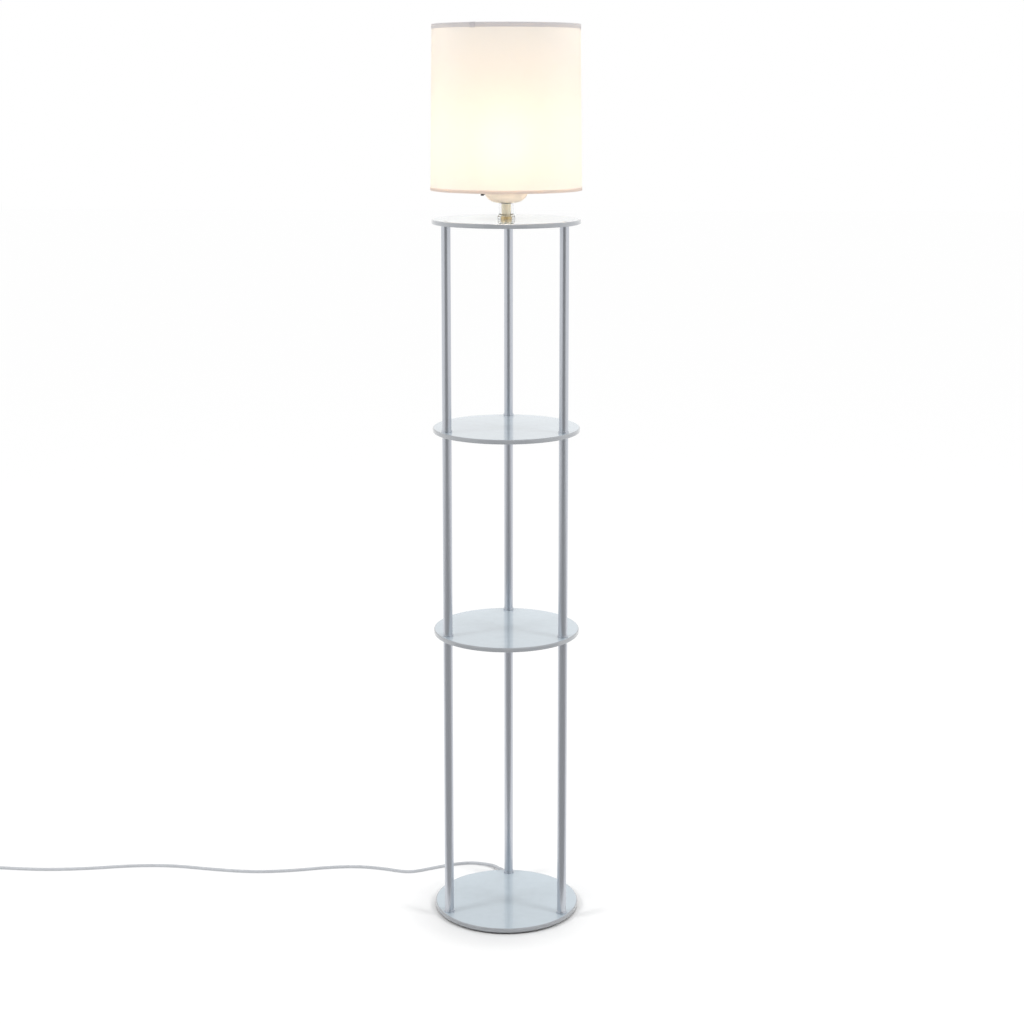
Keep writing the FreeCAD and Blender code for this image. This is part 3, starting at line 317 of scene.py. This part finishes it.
# %% Places of the tapes
for tape, node in ((upper_tape, "shade_top_trim"), (lower_tape, "shade_bottom_trim")):
    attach(tape, "shade")
    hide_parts(node)
    print(tape.name, "stands for", node)

# %% [markdown]
# ## The cup
# The cup under the shade is a shallow frosted bowl that holds the lampholder. Half a sphere would be
# near, but the real cup has a flat bottom with a hole in the middle for the threaded pipe. So its
# section is worked out, along the bottom and up the round wall, then back down the inside, and
# turned like the other round pieces.

# %% Cup
CUP_BOTTOM, CUP_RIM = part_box("cup")[0].z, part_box("cup")[1].z
CUP_RADIUS, CUP_DEPTH, CUP_WALL = 0.039, CUP_RIM - CUP_BOTTOM, 0.0016
PIPE_HOLE_RADIUS = 0.0055


def bowl(depth, steps=14):
    """Points up the round wall of the cup, from its flat bottom to its rim."""
    points = []
    for step in range(steps + 1):
        angle = math.radians(90 * step / steps)
        radius = CUP_RADIUS - CUP_DEPTH + depth * math.sin(angle)
        points.append((radius, CUP_RIM - depth * math.cos(angle)))
    return points


outer_wall = [(PIPE_HOLE_RADIUS, CUP_BOTTOM)] + bowl(CUP_DEPTH)
inner_wall = bowl(CUP_DEPTH - CUP_WALL)[::-1] + [(PIPE_HOLE_RADIUS, CUP_BOTTOM + CUP_WALL)]
cup = turned("cup_bowl", outer_wall + inner_wall, segments=96, closed=True)
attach(cup, "stand")
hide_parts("cup")

# %% [markdown]
# ## Materials
# Pictures could be wrapped round the pieces, but nodes work at any size and need no files. A noise
# texture in the piece's own coordinates gives soft clouds. A ramp turns them into two close shades
# of one colour, because no real coat, metal or cloth is perfectly even.


# %% Helpers for nodes
def add_node(tree, kind, **inputs):
    """New shader node. Its inputs are set by name, with _ where the name has a space."""
    node = tree.nodes.new("ShaderNode" + kind)
    for name, value in inputs.items():
        node.inputs[name.replace("_", " ")].default_value = value
    return node


def clouds(tree, colour, vary, scale, stretch, detail, span):
    """Noise in the piece's own coordinates, and a ramp that makes shades of one colour of it."""
    place = add_node(tree, "TexCoord")
    mapping = add_node(tree, "Mapping", Scale=stretch)
    noise = add_node(tree, "TexNoise", Scale=scale, Detail=detail)
    shades = add_node(tree, "ValToRGB")
    place.name, noise.name, shades.name = "place", "clouds", "shades"
    darker, lighter = shades.color_ramp.elements
    darker.position, lighter.position = span
    darker.color = (*[c * (1 - vary) for c in colour], 1)
    lighter.color = (*[min(c * (1 + vary), 1) for c in colour], 1)
    tree.links.new(place.outputs["Object"], mapping.inputs["Vector"])
    tree.links.new(mapping.outputs["Vector"], noise.inputs["Vector"])
    tree.links.new(noise.outputs["Fac"], shades.inputs["Fac"])


# %% [markdown]
# Hard finishes share one recipe: the clouds colour the surface, make it a little rougher and
# smoother in places, and give it a fine relief. Each finish gives the recipe its own numbers.

# %% Helper for hard finishes
ROUGHNESS_SWING, LEAST_ROUGHNESS = 0.04, 0.02
RELIEF_DEPTH = 0.001


def material(name, colour, roughness, metallic=0.0, vary=0.02, scale=60, bump=0.0,
             stretch=(1, 1, 1)):
    """Procedural finish: clouds vary its colour and roughness and give a fine relief."""
    mat = bpy.data.materials.new(name)
    mat.use_nodes = True
    tree = mat.node_tree
    shader = tree.nodes["Principled BSDF"]
    shader.inputs["Metallic"].default_value = metallic
    clouds(tree, colour, vary, scale, stretch, detail=4.0, span=(0.3, 0.7))
    noise, shades = tree.nodes["clouds"], tree.nodes["shades"]
    smoothest = max(roughness - ROUGHNESS_SWING, LEAST_ROUGHNESS)
    roughest = min(roughness + ROUGHNESS_SWING, 1)
    rough = add_node(tree, "MapRange", To_Min=smoothest, To_Max=roughest)
    tree.links.new(shades.outputs["Color"], shader.inputs["Base Color"])
    tree.links.new(noise.outputs["Fac"], rough.inputs["Value"])
    tree.links.new(rough.outputs["Result"], shader.inputs["Roughness"])
    if bump:
        relief = add_node(tree, "Bump", Strength=bump, Distance=RELIEF_DEPTH)
        tree.links.new(noise.outputs["Fac"], relief.inputs["Height"])
        tree.links.new(relief.outputs["Normal"], shader.inputs["Normal"])
    return mat


def dress(mat, *pieces):
    """Gives pieces one material. A piece is a solid part's name or an object."""
    for piece in pieces:
        target = nodes[piece] if isinstance(piece, str) else piece
        target.data.materials.clear()
        target.data.materials.append(mat)
    print(mat.name, "on", len(pieces), "pieces")


# %% [markdown]
# ## Silver lacquer
# The base and the shelves have a smooth silver-grey lacquer that mirrors the poles and the floor. A
# metallic shader would mirror too much, so the paint is a plain one under a thin glossy coat.

# %% Lacquer
lacquer = material("silver_lacquer", (0.452, 0.525, 0.580), roughness=0.22, bump=0.004)
lacquer_tree = lacquer.node_tree
lacquer_shader = lacquer_tree.nodes["Principled BSDF"]
lacquer_shader.inputs["Coat Weight"].default_value = 0.9
lacquer_shader.inputs["Coat Roughness"].default_value = 0.03
dress(lacquer, "base_cover", "shelf_lower", "shelf_upper", "shelf_top", "wire_cover")

# %% [markdown]
# The colour is drawn darker on the rims of the boards than on their faces. The rim could be a second
# piece or a second material, but the boards are one solid each. So the colour changes with the
# distance from the lamp's middle line, within the last few millimetres of the board.

# %% Darker rims
BOARD_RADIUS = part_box("shelf_upper")[1].x
RIM_START, RIM_FULL = BOARD_RADIUS - 0.0026, BOARD_RADIUS - 0.0010
RIM_COLOUR = (0.31, 0.325, 0.345, 1)
flatten = add_node(lacquer_tree, "VectorMath")
flatten.operation = "MULTIPLY"
flatten.inputs[1].default_value = (1, 1, 0)
from_middle = add_node(lacquer_tree, "VectorMath")
from_middle.operation = "LENGTH"
rim_share = add_node(lacquer_tree, "MapRange", From_Min=RIM_START, From_Max=RIM_FULL)
rim_share.interpolation_type = "SMOOTHSTEP"
rim_mix = add_node(lacquer_tree, "Mix")
rim_mix.data_type = "RGBA"
face_input, rim_input, mixed_colour = rim_mix.inputs[6], rim_mix.inputs[7], rim_mix.outputs[2]
rim_input.default_value = RIM_COLOUR
lacquer_tree.links.new(lacquer_tree.nodes["place"].outputs["Object"], flatten.inputs[0])
lacquer_tree.links.new(flatten.outputs["Vector"], from_middle.inputs[0])
lacquer_tree.links.new(from_middle.outputs["Value"], rim_share.inputs["Value"])
lacquer_tree.links.new(rim_share.outputs["Result"], rim_mix.inputs["Factor"])
lacquer_tree.links.new(lacquer_tree.nodes["shades"].outputs["Color"], face_input)
lacquer_tree.links.new(mixed_colour, lacquer_shader.inputs["Base Color"])
print("rims from", round(RIM_START, 4), "to", round(BOARD_RADIUS, 4))

# %% [markdown]
# ## Bright metals
# The poles and their collars are satin steel, with a fine grain along the tubes. The scratches
# could be modelled one by one, but at this distance clouds that are stretched upwards look the same.
# The lampholder's shell and the plug's blades are polished.

# %% Steel
satin = material("satin_steel", (0.57, 0.595, 0.64), roughness=0.32, metallic=1.0, vary=0.03, scale=40,
                 bump=0.01, stretch=(1, 1, 0.02))
tubes = [name for name in nodes if "_tube_" in name]
dress(satin, *tubes, "foot_collars")
chrome = material("polished_steel", (0.85, 0.84, 0.82), roughness=0.08, metallic=1.0)
dress(chrome, "holder_shell", "holder_cap", "plug_blades")

# %% [markdown]
# ## Brass and small metal parts
# The sleeve in the clear neck is lightly brushed brass, and its seat and the parts of the lampholder
# are brass too. The sleeve's brass is painted much paler than theirs, as painted light from the lit
# shade and the bright top shelf. One brass for all would make the neck too yellow, so there are two.
# Screws, pipes and nuts are zinc plated, and their colour is more patchy. The bulb's cap is rolled
# aluminium, and the weight in the base is rough cast iron.

# %% Zinc, brass, aluminium and iron
zinc = material("zinc_plated_steel", (0.55, 0.55, 0.52), roughness=0.38, metallic=1.0, vary=0.08,
                scale=120, bump=0.05)
dress(zinc, "base_nipples", "locknuts", "tube_inserts", "shelf_nipples", "top_screws",
      "wire_cover_screws", "neck_nipple", "switch_spindle", "bulb_supports", "bulb_tip",
      "bulb_filament")
brass = material("brass", (0.74, 0.56, 0.28), roughness=0.3, metallic=1.0, vary=0.05, scale=90,
                 bump=0.02)
dress(brass, "terminal_screws", "screw_shell", "contact_strip", "neck_seat")
# Painted light: the sleeve's brass is coloured much paler for the light of the shade and the top shelf.
painted_lit_brass = material("painted_lit_brass", (0.97, 0.87, 0.68), roughness=0.40, metallic=1.0, vary=0.03,
                      scale=90, bump=0.02)
dress(painted_lit_brass, "neck_sleeve")
aluminium = material("rolled_aluminium", (0.75, 0.75, 0.74), roughness=0.32, metallic=1.0, vary=0.04,
                     scale=90, bump=0.02)
dress(aluminium, "bulb_cap")
iron = material("cast_iron", (0.07, 0.07, 0.075), roughness=0.7, metallic=0.6, vary=0.25,
                scale=220, bump=0.3)
dress(iron, "base_weight")

# %% [markdown]
# ## Plastics, rubber and card
# The knob and the holder's core are glossy black plastic, the feet are dull rubber, and the shade's
# wire frame has a white powder coat. All use the same recipe. What tells them apart is mostly how
# rough they are and how strong their relief is.

# %% Plastics, rubber, card and powder coat
rubber = material("black_rubber", (0.03, 0.03, 0.03), roughness=0.75, vary=0.2, scale=200, bump=0.1)
dress(rubber, "base_feet")
grey_plastic = material("grey_plastic", (0.10, 0.105, 0.115), roughness=0.45, vary=0.08, scale=150,
                        bump=0.02)
dress(grey_plastic, "neck_washer")
black = material("black_plastic", (0.012, 0.012, 0.012), roughness=0.25, vary=0.2, scale=150,
                 bump=0.02)
dress(black, "switch_knob", "holder_core", "bulb_insulator", "coil_tie")
card = material("brown_card", (0.20, 0.14, 0.09), roughness=0.9, vary=0.15, scale=160, bump=0.1)
dress(card, "holder_liner")
white_coat = material("white_powder_coat", (0.80, 0.79, 0.76), roughness=0.5, vary=0.03, scale=250,
                      bump=0.05)
dress(white_coat, "shade_hub", "shade_arms", "shade_lower_ring", "shade_upper_ring")

# %% [markdown]
# The cord, its plug and the rubber sleeve at the base are one grey. The two thin wires inside the
# lamp have a clear yellowish skin over copper, which a single warm colour shows well enough.

# %% Cord and wires
cord_skin = material("cord_skin", (0.48, 0.495, 0.52), roughness=0.38, vary=0.05, scale=120, bump=0.02)
dress(cord_skin, cord, "plug_body", "cord_gland")
wire_skin = material("wire_skin", (0.55, 0.46, 0.30), roughness=0.4, vary=0.05, scale=120, bump=0.02)
dress(wire_skin, "inner_wires")

# %% [markdown]
# ## Cloth that light shines through
# With the bulb lit, the shade is seen mostly by the light that comes through it. A solid cloth with
# light scattered inside it would be slow and grainy. For a single skin a translucent shader is
# enough. Part of the light goes on as a wide beam instead, which makes the middle of a lit shade
# brighter. A matt shader with sheen is mixed in for the light that falls on the outside.

# %% Helper for cloth and frosted skins
SKIN_VARY, SKIN_ROUGHNESS, SKIN_SHINE = 0.04, 0.9, 0.1
BEAM_SPREAD, SKIN_IOR = 0.85, 1.45


def translucent(name, colour, through, share, scale, stretch=(1, 1, 1), sheen=0.0, forward=0.0):
    """Diffuse skin that passes a share of the light, of which forward goes on as a wide beam."""
    mat = bpy.data.materials.new(name)
    mat.use_nodes = True
    tree = mat.node_tree
    tree.nodes.remove(tree.nodes["Principled BSDF"])
    clouds(tree, through, SKIN_VARY, scale, stretch, detail=3.0, span=(0, 1))
    shades = tree.nodes["shades"]
    passing = add_node(tree, "BsdfTranslucent")
    straight = add_node(tree, "BsdfRefraction", Roughness=BEAM_SPREAD, IOR=SKIN_IOR)
    through_mix = add_node(tree, "MixShader", Fac=forward)
    surface = add_node(tree, "BsdfPrincipled", Base_Color=(*colour, 1), Roughness=SKIN_ROUGHNESS,
                       Specular_IOR_Level=SKIN_SHINE, Sheen_Weight=sheen)
    mix = add_node(tree, "MixShader", Fac=share)
    tree.links.new(shades.outputs["Color"], passing.inputs["Color"])
    tree.links.new(shades.outputs["Color"], straight.inputs["Color"])
    tree.links.new(passing.outputs["BSDF"], through_mix.inputs[1])
    tree.links.new(straight.outputs["BSDF"], through_mix.inputs[2])
    tree.links.new(surface.outputs["BSDF"], mix.inputs[1])
    tree.links.new(through_mix.outputs["Shader"], mix.inputs[2])
    tree.links.new(mix.outputs["Shader"], tree.nodes["Material Output"].inputs["Surface"])
    return mat


# %% [markdown]
# The fabric's clouds are squeezed six times in height, which gives its fine level slubs. The film
# behind it is creamier and passes more light. The lower tape's cloth is a lighter, warmer copy of the
# upper tape's, as painted light for the bulb's light that falls on it. The cup is frosted all through,
# so it is made as a skin of this kind too.

# %% Shade, tapes and cup
upper_tape_cloth = translucent("upper_tape_cloth", colour=(0.56, 0.57, 0.62),
                               through=(0.95, 0.90, 0.86), share=0.50, scale=500, sheen=0.9)
dress(upper_tape_cloth, upper_tape)
# Painted light: the same tape, coloured lighter and warmer for the bulb's light that falls on it.
lower_tape_painted_lit = translucent("lower_tape_painted_lit", colour=(0.82, 0.80, 0.80),
                               through=(1.0, 0.86, 0.76), share=0.60, scale=500, sheen=0.9)
dress(lower_tape_painted_lit, lower_tape)
fabric_cloth = translucent("shade_cloth", colour=(0.86, 0.90, 0.96), through=(0.98, 0.86, 0.67),
                           share=0.46, scale=300, stretch=(1, 1, 6), sheen=0.9, forward=0.40)
dress(fabric_cloth, fabric)
lining_film = translucent("shade_film", colour=(0.80, 0.70, 0.58), through=(1.0, 0.94, 0.86),
                          share=0.80, scale=60, forward=0.35)
dress(lining_film, lining)
frosting = translucent("frosted_cup", colour=(0.95, 0.90, 0.86), through=(1.0, 0.95, 0.91),
                       share=0.5, scale=40)
dress(frosting, cup)

# %% [markdown]
# ## The lit bulb
# A light placed inside the bulb takes many samples to find its way out through the glass. So the
# frosted glass itself glows, in a warm white, and its clouds make the glow a little uneven.

# %% Glowing bulb
BULB_GLOW = 17.0
bulb_glass = material("glowing_bulb", (1.0, 0.84, 0.68), roughness=0.4, scale=30)
bulb_tree = bulb_glass.node_tree
bulb_shader = bulb_tree.nodes["Principled BSDF"]
bulb_tree.links.new(bulb_tree.nodes["shades"].outputs["Color"], bulb_shader.inputs["Emission Color"])
bulb_shader.inputs["Emission Strength"].default_value = BULB_GLOW
dress(bulb_glass, "bulb_glass")

# %% [markdown]
# ## Clear pieces
# The neck is a clear plastic column round the brass sleeve, and the bulb has a glass stem inside.
# Mixing in a transparent shader would show no bending of what lies behind, so both use the main
# shader's transmission, which bends light as glass does.

# %% Clear neck and glass stem
clear_neck = material("clear_neck", (0.94, 0.95, 0.95), roughness=0.03, vary=0.01)
clear_neck.node_tree.nodes["Principled BSDF"].inputs["Transmission Weight"].default_value = 1.0
dress(clear_neck, "neck_column")
stem_glass = material("stem_glass", (0.80, 0.84, 0.84), roughness=0.05)
stem_glass.node_tree.nodes["Principled BSDF"].inputs["Transmission Weight"].default_value = 0.9
dress(stem_glass, "bulb_stem")

# %% [markdown]
# ## The floor
# The lamp stands on a white floor of which only the soft shadow shows. A plain white floor would
# turn grey away from the lights. So the floor is matt paint near the lamp, where it takes the
# shadow, and goes over into an even white glow further out. A fifth of the paint is left there, so
# that longer shadows still show faintly.

# %% Floor
FLOOR_SIZE = 40
PAINT_ENDS, GLOW_STARTS = 0.15, 0.22
GLOW_SHARE, GLOW_STRENGTH = 0.8, 1.06
bpy.ops.object.select_all(action="DESELECT")
bpy.ops.mesh.primitive_plane_add(size=FLOOR_SIZE, location=(0, 0, 0))
floor = bpy.context.object
floor.name = "floor"
floor_paint = material("floor_paint", (0.85, 0.85, 0.85), roughness=0.6, vary=0.01, scale=3)
dress(floor_paint, floor)

# %% [markdown]
# The glow could be a second, larger floor, but its edge would show. One floor with both shaders has
# no edge: the distance from the lamp says how much of each there is.

# %% Glow of the floor away from the lamp
floor_tree = floor_paint.node_tree
paint_shader = floor_tree.nodes["Principled BSDF"]
from_lamp = add_node(floor_tree, "VectorMath")
from_lamp.operation = "LENGTH"
fade = add_node(floor_tree, "MapRange", From_Min=PAINT_ENDS, From_Max=GLOW_STARTS, To_Max=GLOW_SHARE)
fade.interpolation_type = "SMOOTHSTEP"
white_glow = add_node(floor_tree, "Emission", Strength=GLOW_STRENGTH)
floor_mix = add_node(floor_tree, "MixShader")
floor_tree.links.new(floor_tree.nodes["place"].outputs["Object"], from_lamp.inputs[0])
floor_tree.links.new(from_lamp.outputs["Value"], fade.inputs["Value"])
floor_tree.links.new(fade.outputs["Result"], floor_mix.inputs["Fac"])
floor_tree.links.new(paint_shader.outputs["BSDF"], floor_mix.inputs[1])
floor_tree.links.new(white_glow.outputs["Emission"], floor_mix.inputs[2])
floor_tree.links.new(floor_mix.outputs["Shader"], floor_tree.nodes["Material Output"].inputs["Surface"])
print("floor paint fades from", PAINT_ENDS, "to", GLOW_STARTS)

# %% [markdown]
# ## The white surround
# A white world lights the lamp evenly from all sides, as a white tent would. At full strength it
# would wash out the shadows. So it is pure white only for rays that come from the camera, a mirror
# or clear glass, and the light that it sheds is a little weaker.

# %% World
WORLD_LIGHT, WORLD_SEEN = 0.80, 1.0
world = bpy.data.worlds.new("studio")
bpy.context.scene.world = world
world.use_nodes = True
world_tree = world.node_tree
background = world_tree.nodes["Background"]
background.inputs["Color"].default_value = (1.0, 1.0, 1.0, 1.0)
rays = add_node(world_tree, "LightPath")
seen = rays.outputs["Is Camera Ray"]
for ray in ("Is Glossy Ray", "Is Transmission Ray"):
    either = add_node(world_tree, "Math")
    either.operation = "ADD"
    either.use_clamp = True
    world_tree.links.new(seen, either.inputs[0])
    world_tree.links.new(rays.outputs[ray], either.inputs[1])
    seen = either.outputs["Value"]
level = add_node(world_tree, "MapRange", To_Min=WORLD_LIGHT, To_Max=WORLD_SEEN)
world_tree.links.new(seen, level.inputs["Value"])
world_tree.links.new(level.outputs["Result"], background.inputs["Strength"])
print("world strength:", WORLD_LIGHT, "as light,", WORLD_SEEN, "where it is seen")

# %% [markdown]
# ## Soft lights
# Two square lights stand high at the sides and cast the poles' soft shadows across the boards. Seen
# in the round poles they would burn white lines, so they are kept out of reflections. A third light
# hangs above, a little behind the lamp, and gives the shadow in front of the base.


# %% Lights
def soft_light(name, place, target, size, power, mirrored=True):
    """Square light turned to a point. It can stay out of reflections."""
    data = bpy.data.lights.new(name, "AREA")
    data.size = size
    data.energy = power
    light = bpy.data.objects.new(name, data)
    bpy.context.scene.collection.objects.link(light)
    light.location = place
    light.rotation_euler = (Vector(target) - Vector(place)).to_track_quat("-Z", "Y").to_euler()
    light.visible_camera = False
    light.visible_glossy = mirrored
    print(name, "at", place, "with", power, "watts")


soft_light("left_light", place=(-2.3, -1.2, 2.2), target=(0, 0, 0.5), size=0.7, power=30,
           mirrored=False)
soft_light("right_light", place=(2.3, -1.2, 2.2), target=(0, 0, 0.5), size=0.7, power=30,
           mirrored=False)
soft_light("top_light", place=(0.2, 0.5, 4.2), target=(0, 0, 0), size=1.2, power=32)

# %% [markdown]
# ## Grey cards
# In an all-white surround, polished metal has nothing to mirror and looks flat. A grey card in
# front of the lamp draws the dark stripe down each pole, and it also dims the light from the front.
# A second one lies over the floor in front of the lamp and shows only in reflections. The camera
# doesn't see the cards, and they cast no shadows.


# %% Paint of the cards
CARD_VARY, CARD_CLOUDS = 0.15, 0.6


def card_paint(name, grey):
    """Grey that glows by itself, with soft clouds, so that no light has to fall on the card."""
    paint = bpy.data.materials.new(name)
    paint.use_nodes = True
    tree = paint.node_tree
    tree.nodes.remove(tree.nodes["Principled BSDF"])
    glow = add_node(tree, "Emission")
    noise = add_node(tree, "TexNoise", Scale=CARD_CLOUDS)
    level = add_node(tree, "MapRange", To_Min=grey * (1 - CARD_VARY), To_Max=grey * (1 + CARD_VARY))
    tree.links.new(noise.outputs["Fac"], level.inputs["Value"])
    tree.links.new(level.outputs["Result"], glow.inputs["Strength"])
    tree.links.new(glow.outputs["Emission"], tree.nodes["Material Output"].inputs["Surface"])
    return paint


# %% [markdown]
# Each card is one flat plane, turned and stretched to its size. Real cards are seen by everything.
# Here four switches say what sees a card: the camera, scattered light, light through glass, and
# shadows. Reflections always do.


# %% Cards
def grey_card(name, size, place, turn, grey, shades=False):
    """Card that shows in reflections. It can also dim the light that falls on the lamp."""
    bpy.ops.object.select_all(action="DESELECT")
    bpy.ops.mesh.primitive_plane_add(size=1, location=place, rotation=(math.radians(turn), 0, 0))
    board = bpy.context.object
    board.name = name
    board.scale = (*size, 1)
    bpy.ops.object.transform_apply(location=True, rotation=True, scale=True)
    board.visible_camera = False
    board.visible_diffuse = shades
    board.visible_transmission = False
    board.visible_shadow = False
    dress(card_paint(name, grey), board)


grey_card("front_card", size=(6.5, 5.0), place=(0.0, -5.0, 2.4), turn=90, grey=0.28, shades=True)
grey_card("floor_card", size=(6.5, 4.75), place=(0.0, -2.52, 0.004), turn=0, grey=0.40)

# %% [markdown]
# ## How the picture shows the colours
# Blender's usual view softens bright areas, which would turn the white surround grey. The Standard
# view shows the colours as they are, so white stays white.

# %% View
bpy.context.scene.view_settings.view_transform = "Standard"
print("view:", bpy.context.scene.view_settings.view_transform)

# %% [markdown]
# ## Soft pieces
# The fabric and the lining are the shade's two soft skins.

print("sheets declared:", fabric.name, lining.name)
